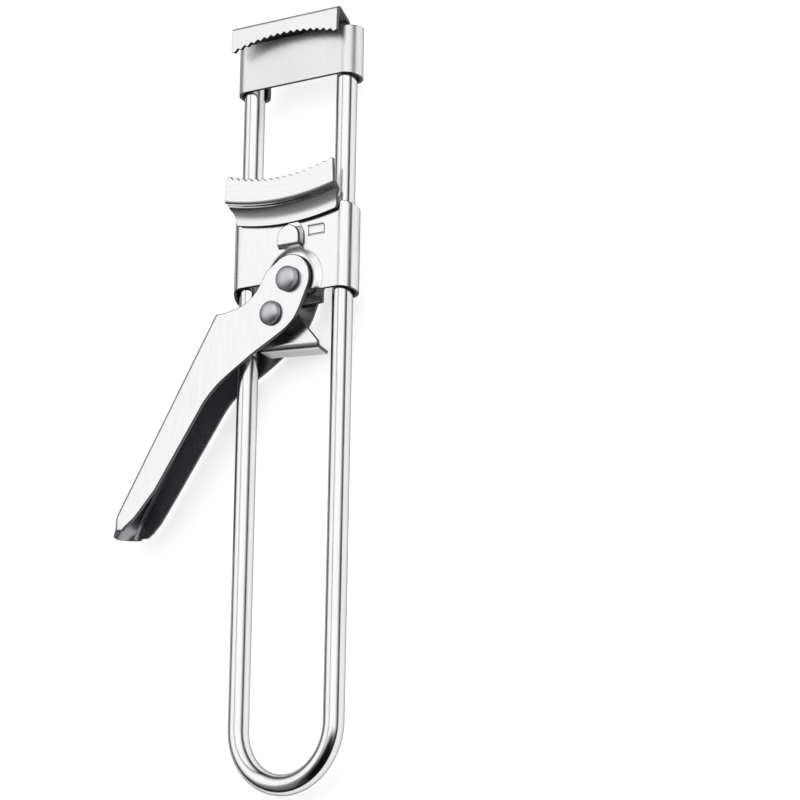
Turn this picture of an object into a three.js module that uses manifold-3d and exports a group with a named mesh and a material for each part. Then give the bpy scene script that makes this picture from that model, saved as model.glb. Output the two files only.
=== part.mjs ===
// Adjustable lid and jar opener, lying on its back.
// Millimetres: +Y runs along the two bars towards the head, +X is to the right seen from the front,
// +Z is the front of the tool (rivet heads and jaw faces up). The loop bottom is y = 0 in the design frame.
import * as THREE from "three";
import { mergeVertices } from "three/addons/utils/BufferGeometryUtils.js";
import Module from "manifold-3d";

// Bars
const BAR_R = 2.7;
const BAR_X = 15.1;
const BAR_TOP = 197;
const BAR_SIDES = 24;

// Sheet sleeves rolled round the bars
const SHEET = 0.9;
const ROLL_R = 3.4;
const ROLL_X = 15.5;
const CURL_X = 14.7;
const HEAD_Y0 = 185.4;
const HEAD_Y1 = 198.3;
const HEAD_WRAP = 236;
const HEAD_BACK_DROP = 0.16;
const SLEEVE_Y0 = 128.6;
const SLEEVE_Y1 = 151.4;
const SLEEVE_BACK_DROP = 0.22;
const SLEEVE_TOP_SLANT = 0.38;
const SLEEVE_WRAP = 218;
const SLEEVE_BACK_EDGE = 6.3;
const NOTCH_X = -7;
const NOTCH_Y = 132.3;
const NOTCH_SLANT = 0.8;

// Pivots
const P1 = { x: 2.4, y: 131.8 };
const P2 = { x: -3.0, y: 123.5 };
const P1_SHANK_R = 1.8;
const P2_SHANK_R = 1.7;
const HOLE_GAP = 0.3;
const PAD_R = 8.6;
const PAD_BASE_R = 11;
const PAD_H = 1.05;

// Tab and window of the sleeve
const TAB = { x: 1.0, w: 7.0, y0: 141.2, y1: 146.9, z: 5.7 };
const WINDOW = { x0: 6.4, x1: 11.4, y0: 143.4, y1: 145.6 };

// Jaws
const JAW_HALF = 17.3;
const JAW_TEETH = 16;
const TOOTH_H = 0.75;
const UPPER_FOLD = { z: 6.6, y: 201.9 };
const UPPER_EDGE_MID = 198.2;
const UPPER_EDGE_R = 61;
const LOWER_EDGE_MID = 158.4;
const LOWER_EDGE_R = 53;
const LOWER_BEND_R = 74;

// Lever channel
const LEVER_Z1 = 6.25;
const LEVER_Z0 = -5.05;
const LEVER_T = 0.95;
const LEVER_ANGLE = THREE.MathUtils.degToRad(32.1);
const LEVER_CORNER = { x: -22.3, y: 125.7 };
const LEVER_LENGTH = 64;
const LEVER_END_R = 6.6;

// Brake plate
const BRAKE_T = 0.9;
const BRAKE_Z = 2.05;

const wasm = await Module();
wasm.setup();

// ---------- geometry helpers ----------

// A closed three.js geometry as a manifold solid.
function solid(geometry) {
  const plain = new THREE.BufferGeometry();
  const source = geometry.index ? geometry.toNonIndexed() : geometry;
  plain.setAttribute("position", source.getAttribute("position"));
  const merged = mergeVertices(plain, 1e-4);
  return new wasm.Manifold(
    new wasm.Mesh({
      numProp: 3,
      vertProperties: merged.attributes.position.array,
      triVerts: new Uint32Array(merged.index.array),
    }),
  );
}

// A manifold solid as a flat-shaded three.js geometry.
function geometryOf(body) {
  const mesh = body.getMesh();
  const positions = new Float32Array(mesh.numVert * 3);
  for (let i = 0; i < mesh.numVert; i++) {
    positions.set(mesh.vertProperties.subarray(i * mesh.numProp, i * mesh.numProp + 3), i * 3);
  }
  const geometry = new THREE.BufferGeometry();
  geometry.setAttribute("position", new THREE.BufferAttribute(positions, 3));
  geometry.setIndex(new THREE.BufferAttribute(new Uint32Array(mesh.triVerts), 1));
  const flat = geometry.toNonIndexed();
  flat.computeVertexNormals();
  return flat;
}

// Points on an arc; angles in degrees.
function arc(cx, cy, r, from, to, count) {
  const points = [];
  for (let i = 0; i <= count; i++) {
    const a = THREE.MathUtils.degToRad(from + ((to - from) * i) / count);
    points.push(new THREE.Vector2(cx + r * Math.cos(a), cy + r * Math.sin(a)));
  }
  return points;
}

function shapeOf(points) {
  const shape = new THREE.Shape(points);
  return THREE.ShapeUtils.area(points) < 0 ? new THREE.Shape(points.slice().reverse()) : shape;
}

// A band of constant thickness along a polyline, as a closed outline.
function ribbon(points, thickness) {
  const left = [];
  const right = [];
  points.forEach((p, i) => {
    const before = points[Math.max(i - 1, 0)];
    const after = points[Math.min(i + 1, points.length - 1)];
    const a = i > 0 ? p.clone().sub(before).normalize() : after.clone().sub(p).normalize();
    const b = i < points.length - 1 ? after.clone().sub(p).normalize() : a;
    const normal = new THREE.Vector2(-(a.y + b.y), a.x + b.x).normalize();
    const reach = thickness / 2 / (normal.x * -a.y + normal.y * a.x);
    left.push(p.clone().addScaledVector(normal, reach));
    right.push(p.clone().addScaledVector(normal, -reach));
  });
  return left.concat(right.reverse());
}

// Extrudes an outline given in (x, y) from z0 to z1.
function alongZ(points, z0, z1) {
  const geometry = new THREE.ExtrudeGeometry(shapeOf(points), { depth: z1 - z0, bevelEnabled: false });
  geometry.translate(0, 0, z0);
  return solid(geometry);
}

// Extrudes an outline given in (x, z) from y0 to y1.
function alongY(points, y0, y1) {
  const flipped = points.map((p) => new THREE.Vector2(p.x, -p.y));
  const geometry = new THREE.ExtrudeGeometry(shapeOf(flipped), { depth: y1 - y0, bevelEnabled: false });
  geometry.rotateX(-Math.PI / 2);
  geometry.translate(0, y0, 0);
  return solid(geometry);
}

// Extrudes an outline given in (z, y) over x = -half..half; bendR lifts the ends along y as a shallow arc.
function alongX(points, half, steps = 1, bendR = Infinity) {
  const flipped = points.map((p) => new THREE.Vector2(-p.x, p.y));
  const options = { depth: 2 * half, steps, bevelEnabled: false };
  const geometry = new THREE.ExtrudeGeometry(shapeOf(flipped), options);
  geometry.rotateY(Math.PI / 2);
  geometry.translate(-half, 0, 0);
  const position = geometry.getAttribute("position");
  for (let i = 0; i < position.count; i++) {
    const x = position.getX(i);
    position.setY(i, position.getY(i) + (x * x) / (2 * bendR));
  }
  return solid(geometry);
}

function box(x0, x1, y0, y1, z0, z1) {
  const geometry = new THREE.BoxGeometry(x1 - x0, y1 - y0, z1 - z0);
  geometry.translate((x0 + x1) / 2, (y0 + y1) / 2, (z0 + z1) / 2);
  return solid(geometry);
}

// A round body about an axis parallel to z: profile points are (radius, z), from the front down.
function turned(centre, profile, sides) {
  const points = profile.map((p) => new THREE.Vector2(p[0], p[1])).reverse();
  const geometry = new THREE.LatheGeometry(points, sides);
  geometry.rotateX(Math.PI / 2);
  geometry.translate(centre.x, centre.y, 0);
  return solid(geometry);
}

function hole(centre, radius, z0, z1) {
  return turned(centre, [[0, z1], [radius, z1], [radius, z0], [0, z0]], 24);
}

// A zigzag of teeth that follows y = mid + x * x / (2 * r); tips point along sign.
function toothedEdge(mid, r, sign) {
  const points = [];
  const pitch = (2 * JAW_HALF) / JAW_TEETH;
  for (let i = 0; i <= 2 * JAW_TEETH; i++) {
    const x = -JAW_HALF + (i * pitch) / 2;
    const tip = i % 2 === 1 ? TOOTH_H : 0;
    points.push(new THREE.Vector2(x, mid + (x * x) / (2 * r) + sign * tip));
  }
  return points;
}

// ---------- parts ----------

function loopRod() {
  const stations = [];
  stations.push({ x: -BAR_X, y: BAR_TOP, tx: 0, ty: -1, r: BAR_R - 0.5 });
  stations.push({ x: -BAR_X, y: BAR_TOP - 0.5, tx: 0, ty: -1, r: BAR_R });
  const bendY = BAR_X + BAR_R;
  const steps = 24;
  for (let i = 0; i <= steps; i++) {
    const a = Math.PI + (Math.PI * i) / steps;
    const c = Math.cos(a);
    const s = Math.sin(a);
    stations.push({ x: BAR_X * c, y: bendY + BAR_X * s, tx: -s, ty: c, r: BAR_R });
  }
  stations.push({ x: BAR_X, y: BAR_TOP - 0.5, tx: 0, ty: 1, r: BAR_R });
  stations.push({ x: BAR_X, y: BAR_TOP, tx: 0, ty: 1, r: BAR_R - 0.5 });
  const vertices = [];
  const faces = [];
  stations.forEach((s) => {
    for (let k = 0; k < BAR_SIDES; k++) {
      const a = (2 * Math.PI * k) / BAR_SIDES;
      const n = s.r * Math.cos(a);
      vertices.push(s.x - s.ty * n, s.y + s.tx * n, s.r * Math.sin(a));
    }
  });
  const last = (stations.length - 1) * BAR_SIDES;
  for (let i = 0; i < stations.length - 1; i++) {
    for (let k = 0; k < BAR_SIDES; k++) {
      const a = i * BAR_SIDES + k;
      const b = i * BAR_SIDES + ((k + 1) % BAR_SIDES);
      faces.push(a, b, b + BAR_SIDES, a, b + BAR_SIDES, a + BAR_SIDES);
    }
  }
  for (let k = 1; k < BAR_SIDES - 1; k++) {
    faces.push(0, k + 1, k, last, last + k, last + k + 1);
  }
  const geometry = new THREE.BufferGeometry();
  geometry.setAttribute("position", new THREE.BufferAttribute(new Float32Array(vertices), 3));
  geometry.setIndex(faces);
  return solid(geometry);
}

// Mid-line (x, z) of a rolled end on the right: from its inner curl, round the back, to the front.
function rolledEnd(wrap) {
  return arc(CURL_X, 0, ROLL_R, 90 - wrap, -90, 5).concat(arc(ROLL_X, 0, ROLL_R, -90, 90, 16));
}

function headClip() {
  const right = rolledEnd(HEAD_WRAP);
  const left = right.map((p) => new THREE.Vector2(-p.x, p.y)).reverse();
  const band = alongY(ribbon(right.concat(left), SHEET), HEAD_Y0 - 2, HEAD_Y1);
  return band.subtract(slantedCut(-25, 25, HEAD_Y0, HEAD_BACK_DROP, -1));
}

function upperJaw() {
  const fold = UPPER_FOLD;
  const slope = [new THREE.Vector2(2.3, 198.95), new THREE.Vector2(fold.z - 0.45, fold.y - 0.35)];
  const crest = arc(fold.z, fold.y - 0.55, 0.6, 110, 8, 5);
  const flange = [new THREE.Vector2(7.35, 193)];
  const face = alongX(ribbon(slope.concat(crest, flange), SHEET), JAW_HALF);
  const root = [new THREE.Vector2(2.3, 188), new THREE.Vector2(2.3, 198.95)];
  const tongue = alongX(ribbon(root, SHEET), 11.4);
  const edge = toothedEdge(UPPER_EDGE_MID, -UPPER_EDGE_R, -1);
  edge.push(new THREE.Vector2(JAW_HALF + 1, edge[edge.length - 1].y));
  edge.push(new THREE.Vector2(JAW_HALF + 1, 190), new THREE.Vector2(-JAW_HALF - 1, 190));
  edge.push(new THREE.Vector2(-JAW_HALF - 1, edge[0].y));
  return face.subtract(alongZ(edge, 5.6, 9)).add(tongue);
}

function lowerJaw() {
  const root = [new THREE.Vector2(4.6, 147.2)];
  const flare = arc(8.3, 149.0, 3.7, 180, 104, 8);
  const bend = arc(7.15, 153.45, 0.9, -58, 0, 4);
  const lip = [new THREE.Vector2(7.85, 163)];
  const sheet = alongX(ribbon(root.concat(flare, bend, lip), SHEET), 18.5, 20, LOWER_BEND_R);
  const outline = toothedEdge(LOWER_EDGE_MID, LOWER_EDGE_R, 1);
  outline.push(new THREE.Vector2(17.7, 155.6), new THREE.Vector2(17.6, 153.4));
  outline.push(...arc(20.3, 150.6, 3.9, 140, 190, 5));
  outline.push(...arc(12.8, 149.2, 3.2, -10, -90, 5));
  outline.push(...arc(-12.8, 149.2, 3.2, -90, -170, 5));
  outline.push(...arc(-20.3, 150.6, 3.9, -10, 40, 5));
  outline.push(new THREE.Vector2(-17.6, 153.4), new THREE.Vector2(-17.7, 155.6));
  return sheet.intersect(alongZ(outline, 3, 10));
}

// Half-space below (side -1) or above (side 1) y = y0 + slant * (z - front), limited to x0..x1.
function slantedCut(x0, x1, y0, slant, side) {
  const front = ROLL_R + SHEET / 2;
  const points = [
    new THREE.Vector2(9, y0 + slant * (9 - front)),
    new THREE.Vector2(-9, y0 + slant * (-9 - front)),
    new THREE.Vector2(-9, y0 + side * 60),
    new THREE.Vector2(9, y0 + side * 60),
  ];
  const body = alongX(points, (x1 - x0) / 2);
  return body.translate([(x0 + x1) / 2, 0, 0]);
}

function carriageSleeve() {
  const right = rolledEnd(SLEEVE_WRAP);
  const left = arc(-ROLL_X, 0, ROLL_R, 90, 270, 16);
  left.push(new THREE.Vector2(SLEEVE_BACK_EDGE, -ROLL_R));
  let body = alongY(ribbon(right.concat(left), SHEET), 126, SLEEVE_Y1 + 1);
  const front = ROLL_R + SHEET / 2;
  const back = front - SHEET;
  const bump = turned(P1, [[0, front + PAD_H], [PAD_R, front + PAD_H], [PAD_BASE_R, front], [0, front]], 48);
  const dish = turned(
    P1,
    [[0, back + PAD_H], [PAD_R - 0.5, back + PAD_H], [PAD_BASE_R - 0.5, back], [PAD_BASE_R - 0.5, 1], [0, 1]],
    48,
  );
  const tabShape = [new THREE.Vector2(ROLL_R, TAB.y0 - 1)].concat(
    arc(ROLL_R + 0.9, TAB.y0, 0.9, 180, 130, 3),
    arc(TAB.z - 0.9, TAB.y0 + 2.4, 0.9, -50, 0, 3),
    [new THREE.Vector2(TAB.z, TAB.y1 + 1)],
  );
  const half = TAB.w / 2;
  const tabOutline = [new THREE.Vector2(half, TAB.y0 - 1), new THREE.Vector2(half, TAB.y1 - half)].concat(
    arc(0, TAB.y1 - half, half, 0, 180, 10),
    [new THREE.Vector2(-half, TAB.y0 - 1)],
  );
  const tab = alongX(ribbon(tabShape, SHEET), half + 1)
    .intersect(alongZ(tabOutline, 2, 8))
    .translate([TAB.x, 0, 0]);
  const slot = box(TAB.x - half - 0.1, TAB.x + half + 0.1, TAB.y0 + 0.6, TAB.y1 - 1.2, 2, front + 0.1);
  body = body.add(bump).subtract(dish).subtract(slot).add(tab);
  body = body.subtract(slantedCut(-25, 25, SLEEVE_Y1, SLEEVE_TOP_SLANT, 1));
  body = body.subtract(slantedCut(-25, 25, SLEEVE_Y0, SLEEVE_BACK_DROP, -1));
  body = body.subtract(slantedCut(-25, NOTCH_X, NOTCH_Y, NOTCH_SLANT, -1));
  body = body.subtract(box(WINDOW.x0, WINDOW.x1, WINDOW.y0, WINDOW.y1, 2, 5));
  return body.subtract(hole(P1, P1_SHANK_R + HOLE_GAP, -9, 9));
}

// Outline (x, y) of one lever wall; inset narrows the right side of its neck.
function leverOutline(inset) {
  const endR = LEVER_END_R - inset * 0.5;
  const cx = P1.x - inset * 0.5;
  const end = arc(cx, P1.y, endR, -27, 128, 20);
  const ca = Math.cos(LEVER_ANGLE);
  const sa = Math.sin(LEVER_ANGLE);
  const at = (u, n) =>
    new THREE.Vector2(LEVER_CORNER.x - u * sa + n * ca, LEVER_CORNER.y - u * ca - n * sa);
  const slim = inset * 0.33;
  const neckRight = [
    new THREE.Vector2(6.0 - inset, 123.8),
    new THREE.Vector2(4.4 - inset, 121.3),
    new THREE.Vector2(2.0 - inset, 119.2),
    new THREE.Vector2(-2.0 - inset * 0.5, 117.0),
    new THREE.Vector2(-9.0, 113.5),
    new THREE.Vector2(-14.7, 110.2),
    new THREE.Vector2(-19.0 - slim * 0.5, 107.6),
    new THREE.Vector2(-22.0 - slim, 105.2),
    new THREE.Vector2(-24.6 - slim, 102.6),
  ];
  const grip = [
    at(47, 8.6 - slim),
    at(56.2, 6.5 - slim),
    at(58.6, 5.4 - slim),
    at(60.8, 3.7 - slim * 0.6),
    at(62.8, 1.8),
    at(LEVER_LENGTH, 0.5),
  ];
  const shoulder = [
    at(LEVER_LENGTH, -0.1),
    at(0, -0.1),
    new THREE.Vector2(-20.0, 125.6),
    new THREE.Vector2(-16.0, 126.1),
    new THREE.Vector2(-12.4, 127.0),
    new THREE.Vector2(-9.8, 128.5),
    new THREE.Vector2(-8.0, 130.2),
    new THREE.Vector2(-6.5, 132.4),
    new THREE.Vector2(-4.9, 135.0),
  ];
  return end.concat(shoulder.reverse(), grip.reverse(), neckRight.reverse());
}

function lever() {
  const width = LEVER_Z1 - LEVER_Z0;
  const z0 = LEVER_Z0 + LEVER_T / 2;
  const z1 = LEVER_Z1 - LEVER_T / 2;
  const r = 1.3;
  // Channel section: first coordinate is the distance from the web's outer face, second is z.
  const section = [new THREE.Vector2(27, z1)].concat(
    arc(LEVER_T / 2 + r, z1 - r, r, 90, 180, 5),
    arc(LEVER_T / 2 + r, z0 + r, r, 180, 270, 5),
    [new THREE.Vector2(27, z0)],
  );
  const channel = alongY(ribbon(section, LEVER_T), -LEVER_LENGTH - 4, 26)
    .rotate([0, 0, -THREE.MathUtils.radToDeg(LEVER_ANGLE)])
    .translate([LEVER_CORNER.x, LEVER_CORNER.y, 0]);
  const middle = (LEVER_Z0 + LEVER_Z1) / 2;
  const walls = alongZ(leverOutline(0), middle, LEVER_Z1 + 1).add(
    alongZ(leverOutline(3.8), LEVER_Z0 - 1, middle),
  );
  // The tip seen square to the web: a shallow arc with rounded corners.
  const tip = alongX(
    [
      new THREE.Vector2(LEVER_Z0 - 1, 30),
      new THREE.Vector2(LEVER_Z0 - 1, 3 - LEVER_LENGTH),
      ...arc(middle, 7 - LEVER_LENGTH, width / 2 + 1.4, 215, 325, 10),
      new THREE.Vector2(LEVER_Z1 + 1, 3 - LEVER_LENGTH),
      new THREE.Vector2(LEVER_Z1 + 1, 30),
    ],
    40,
  )
    .rotate([0, 0, -THREE.MathUtils.radToDeg(LEVER_ANGLE)])
    .translate([LEVER_CORNER.x, LEVER_CORNER.y, 0]);
  return channel
    .intersect(walls)
    .intersect(tip)
    .subtract(hole(P1, P1_SHANK_R + HOLE_GAP, -9, 9))
    .subtract(hole(P2, P2_SHANK_R + HOLE_GAP, -9, 9));
}

// Domed head in front, shank with an optional shoulder, peened tail behind.
function rivet(centre, shankR, headR, collar, dome, shoulder) {
  const under = LEVER_Z1 + HOLE_GAP;
  const behind = LEVER_Z0 - HOLE_GAP;
  const profile = [[0, under + collar + dome]];
  for (let i = 1; i <= 6; i++) {
    const a = (Math.PI / 2) * (i / 6);
    profile.push([headR * Math.sin(a), under + collar + dome * Math.cos(a)]);
  }
  profile.push([headR, under], [shankR, under]);
  shoulder.forEach((p) => profile.push(p));
  profile.push([shankR, behind], [shankR + 1, behind], [shankR + 0.8, behind - 0.45], [0, behind - 0.6]);
  return turned(centre, profile, 32);
}

function brakePlate() {
  const z = BRAKE_Z;
  const path = [new THREE.Vector2(z, 130)].concat(
    arc(z - 1.5, 116.3, 1.5, 0, -76, 7),
    [new THREE.Vector2(-2.2, 114.1)],
  );
  const sheet = alongX(ribbon(path, BRAKE_T), 14)
    .translate([-P2.x, -115.5, 0])
    .rotate([0, 0, -3.7])
    .translate([P2.x, 115.5, 0]);
  const ear = [
    ...arc(P2.x, P2.y, 3.9, 45, 150, 8),
    new THREE.Vector2(-9.9, 116.6),
    new THREE.Vector2(-9.9, 110),
    new THREE.Vector2(9.2, 110),
    new THREE.Vector2(9.3, 115.6),
  ];
  return sheet.intersect(alongZ(ear, -6, 5)).subtract(hole(P2, P2_SHANK_R + HOLE_GAP, -9, 9));
}

// ---------- assembly ----------

const STEEL = { color: 0xd4d6d8, metalness: 1, roughness: 0.16 };
const parts = [
  ["loop_rod", loopRod(), STEEL],
  ["head_clip", headClip(), STEEL],
  ["upper_jaw", upperJaw(), STEEL],
  ["carriage_sleeve", carriageSleeve(), STEEL],
  ["lower_jaw", lowerJaw(), STEEL],
  ["pivot_rivet", rivet(P1, P1_SHANK_R, 3.3, 0.7, 1.5, []), STEEL],
  ["lever", lever(), STEEL],
  [
    "link_rivet",
    rivet(P2, P2_SHANK_R, 3.2, 0.2, 1.7, [
      [P2_SHANK_R, LEVER_Z1 - LEVER_T - HOLE_GAP],
      [P2_SHANK_R + 1.1, LEVER_Z1 - LEVER_T - HOLE_GAP],
      [P2_SHANK_R + 1.1, BRAKE_Z + BRAKE_T / 2 + HOLE_GAP],
      [P2_SHANK_R, BRAKE_Z + BRAKE_T / 2 + HOLE_GAP],
    ]),
    STEEL,
  ],
  ["brake_plate", brakePlate(), STEEL],
];

const tool = new THREE.Group();
parts.forEach(([name, body, look]) => {
  const mesh = new THREE.Mesh(geometryOf(body), new THREE.MeshStandardMaterial(look));
  mesh.name = name;
  tool.add(mesh);
});

// The origin is the bottom centre of the whole tool.
const bounds = new THREE.Box3().setFromObject(tool);
const centre = bounds.getCenter(new THREE.Vector3());
tool.position.set(-centre.x, -centre.y, -bounds.min.z);

const group = new THREE.Group();
group.add(tool);
export default group;
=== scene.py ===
"""Adjustable jar opener of polished stainless steel, lying on its back on a pale studio floor.

Lengths are in millimetres in the tool's design frame: x = 0 midway between the two bars, y = 0 at the
closed end of the wire loop, z = 0 on the bars' axes. place_in_frame() turns them into frame metres.
"""
import math

import bpy
import numpy as np
from mathutils import Matrix, Vector
from mathutils.geometry import delaunay_2d_cdt


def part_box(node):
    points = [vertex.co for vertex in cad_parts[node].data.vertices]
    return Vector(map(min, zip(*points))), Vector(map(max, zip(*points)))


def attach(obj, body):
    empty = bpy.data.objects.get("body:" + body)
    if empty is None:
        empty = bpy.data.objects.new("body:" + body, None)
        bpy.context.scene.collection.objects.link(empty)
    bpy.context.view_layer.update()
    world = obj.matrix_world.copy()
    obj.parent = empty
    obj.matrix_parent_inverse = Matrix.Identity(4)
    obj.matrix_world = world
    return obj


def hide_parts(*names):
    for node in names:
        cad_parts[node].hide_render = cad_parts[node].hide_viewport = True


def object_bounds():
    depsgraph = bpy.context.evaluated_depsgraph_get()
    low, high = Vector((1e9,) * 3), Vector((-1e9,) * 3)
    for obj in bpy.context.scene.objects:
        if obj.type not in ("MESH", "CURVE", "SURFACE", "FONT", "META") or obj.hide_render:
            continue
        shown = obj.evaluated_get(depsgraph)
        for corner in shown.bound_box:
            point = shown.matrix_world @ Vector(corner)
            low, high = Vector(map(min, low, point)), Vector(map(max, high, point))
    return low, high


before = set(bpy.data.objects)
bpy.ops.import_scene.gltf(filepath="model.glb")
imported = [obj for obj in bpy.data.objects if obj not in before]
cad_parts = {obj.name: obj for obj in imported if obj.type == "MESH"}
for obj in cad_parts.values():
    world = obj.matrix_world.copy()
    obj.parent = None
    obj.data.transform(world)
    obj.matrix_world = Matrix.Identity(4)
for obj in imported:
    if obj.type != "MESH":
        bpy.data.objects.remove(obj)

CAD_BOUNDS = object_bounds()
MM = 0.001

# Wire loop, measured on its CAD node
WIRE_LOW, WIRE_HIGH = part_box("loop_rod")
BAR_R = (WIRE_HIGH.z - WIRE_LOW.z) / 2 / MM
BAR_X = (WIRE_HIGH.x - WIRE_LOW.x) / 2 / MM - BAR_R
BAR_TOP = (WIRE_HIGH.y - WIRE_LOW.y) / MM
ORIGIN = np.array([(WIRE_LOW.x + WIRE_HIGH.x) / 2, WIRE_LOW.y, (WIRE_LOW.z + WIRE_HIGH.z) / 2])

# Sheet rolled round the bars
SHEET = 0.9
RIM = 0.2
SHEET_CORNER = 0.5
ROLL_R = 3.4
ROLL_X = 15.5
CURL_X = 14.7
FRONT = ROLL_R + SHEET / 2
HEAD_Y0 = 185.4
HEAD_Y1 = 198.3
HEAD_CURL = 56
HEAD_BACK_DROP = 0.16
SLEEVE_Y0 = 128.6
SLEEVE_Y1 = 151.4
SLEEVE_CURL = 38
SLEEVE_BACK_DROP = 0.22
SLEEVE_TOP_SLANT = 0.38
SLEEVE_BACK_EDGE = 6.3
NOTCH_X = -7
NOTCH_Y = 132.3
NOTCH_SLANT = 0.8
NOTCH_RUN = 0.6

# Pivots
LEVER_PIVOT = (2.4, 131.8)
LINK_PIVOT = (-3.0, 123.5)
LEVER_SHANK_R = 1.8
LINK_SHANK_R = 1.7
HOLE_GAP = 0.3
PAD_R = 6.9
PAD_BASE_R = 9.3
PAD_H = 1.05

# Tab and grooved rectangle pressed in the sleeve
TAB_X = 1.0
TAB_HALF = 3.5
TAB_ROOT = 140.8
TAB_END = 147.6
TAB_RISE = 1.5
TAB_SLOT = 0.35
TAB_BEND = 70
TAB_BEND_R = 0.45
GROOVE_BOX = (6.4, 11.4, 143.4, 145.6)
GROOVE_DEPTH = 0.45
GROOVE_HALF = 0.22

# Jaws
JAW_HALF = 17.3
JAW_TEETH = 16
TOOTH_H = 0.75
JAW_RIM = 0.16
JAW_CORNER = 0.3
UPPER_ROOT = (2.3, 188)
UPPER_TONGUE_HALF = 11.4
UPPER_TONGUE_TOP = 198.95
UPPER_CREST_Z = 7.19
UPPER_SLOPE = 37.0
UPPER_LEAN = 88.9
UPPER_BEND_R = 0.7
UPPER_FLANGE = 9.0
UPPER_EDGE_MID = 198.2
UPPER_EDGE_R = 61
LOWER_ROOT = (4.6, 147.2)
LOWER_ROOT_HALF = 15.9
LOWER_EDGE_MID = 158.4
LOWER_EDGE_R = 53
LOWER_BOW_R = 74
LOWER_ROOT_RUN = 0.57
LOWER_BENDS = ((6.3, -42), (1.9, -38), (0.8, 81.2))
LOWER_LIP = 10.5

# Lever channel
LEVER_Z1 = 6.25
LEVER_Z0 = -5.05
LEVER_T = 0.95
LEVER_ANGLE = math.radians(32.1)
LEVER_CORNER = (-22.3, 125.7)
LEVER_LENGTH = 64
LEVER_END_R = 6.6
LEVER_BEND_R = 1.3
LEVER_RIM = 0.25
REAR_WALL_INSET = 3.8
WALL_STOCK = 30
SPOON_R = 4.2
SPOON_LENGTH = 6
SPOON_SHARE = 0.85

# Brake plate
BRAKE_T = 0.9
BRAKE_Z = 2.05
BRAKE_TOP = 130
BRAKE_BEND = 76
BRAKE_BEND_R = 1.5
BRAKE_BEND_Y = 116.3
BRAKE_LIP = 3.21
BRAKE_EYE_R = 3.9
BRAKE_TILT = math.radians(-3.7)
BRAKE_TURN_Y = 115.5

# Rivet heads as (radius, collar, dome), and the link rivet's spacer
LEVER_HEAD = (3.3, 0.7, 1.5)
LINK_HEAD = (3.2, 0.2, 1.7)
SPACER_WIDTH = 1.1

# Floor, in metres
FLOOR_HALF = 3.0
FLOOR_GAP = 0.0002

# Depth of the steel's waves and scratches, in metres
WAVE_DEPTH = 0.00003
SCRATCH_DEPTH = 0.000004

# Camera, in the design frame
CAMERA_AT = (608.83, -131.05, 780.69)
CAMERA_AIM = (33.84, 97.33, 0.0)
CAMERA_UP = (0.12183, 0.97321, 0.19497)
CAMERA_LENS = 179.07


# ---------- sections and outlines ----------


class Fold:
    """A sheet's section as straight and bent stretches laid end to end, each (length, turn in degrees)."""

    def __init__(self, start, heading, stretches):
        self.pieces = []
        a, b = start
        along, angle = 0.0, math.radians(heading)
        for length, turn in stretches:
            bend = math.radians(turn) / length
            self.pieces.append((along, a, b, angle, bend))
            a, b = (float(v[0]) for v in self._piece(np.array([length]), a, b, angle, bend)[:2])
            along += length
            angle += bend * length
        self.length = along

    @staticmethod
    def _piece(d, a, b, angle, bend):
        turned = angle + bend * d
        if bend == 0:
            return a + d * math.cos(angle), b + d * math.sin(angle), turned
        return (
            a + (np.sin(turned) - math.sin(angle)) / bend,
            b - (np.cos(turned) - math.cos(angle)) / bend,
            turned,
        )

    def at(self, s, w):
        """Section point at distance s along the middle and height w to the left of it."""
        s = np.asarray(s, float)
        a, b = np.empty_like(s), np.empty_like(s)
        for i, (along, a0, b0, angle, bend) in enumerate(self.pieces):
            here = s >= along if i else np.ones(s.shape, bool)
            pa, pb, turned = self._piece(s - along, a0, b0, angle, bend)
            a = np.where(here, pa - w * np.sin(turned), a)
            b = np.where(here, pb + w * np.cos(turned), b)
        return a, b

    def lines(self, straight_step, bend_degrees):
        """Distances along the section that resolve its bends."""
        marks = [0.0]
        ends = [p[0] for p in self.pieces[1:]] + [self.length]
        for (along, _, _, _, bend), end in zip(self.pieces, ends):
            degrees = math.degrees(abs(bend) * (end - along))
            count = math.ceil(degrees / bend_degrees) if bend else math.ceil((end - along) / straight_step)
            marks += list(np.linspace(along, end, max(count, 1) + 1)[1:])
        return np.array(marks)

    def distance_at(self, b):
        """Distance along the section where its second coordinate is b, which grows or falls all the way."""
        s = np.linspace(0, self.length, 4000)
        values = self.at(s, 0.0)[1]
        order = np.argsort(values)
        return np.interp(b, values[order], s[order])


class Band:
    """A section with one Fold to the right of its middle and one, mirrored, to the left."""

    def __init__(self, right, left):
        self.right, self.left = right, left

    def at(self, s, w):
        s = np.asarray(s, float)
        right, left = self.right.at(np.maximum(s, 0), w), self.left.at(np.maximum(-s, 0), w)
        return np.where(s < 0, -left[0], right[0]), np.where(s < 0, left[1], right[1])

    def lines(self, straight_step, bend_degrees):
        right = self.right.lines(straight_step, bend_degrees)
        left = self.left.lines(straight_step, bend_degrees)
        return np.unique(np.concatenate([-left, right]).round(5))


def arc(cx, cy, r, first, last, count):
    """Points of an arc from first to last, in degrees."""
    angles = np.radians(np.linspace(first, last, count + 1))
    return [(cx + r * math.cos(a), cy + r * math.sin(a)) for a in angles]


def circle(centre, r, count=40):
    return arc(centre[0], centre[1], r, 0, 360, count)[:-1]


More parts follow.
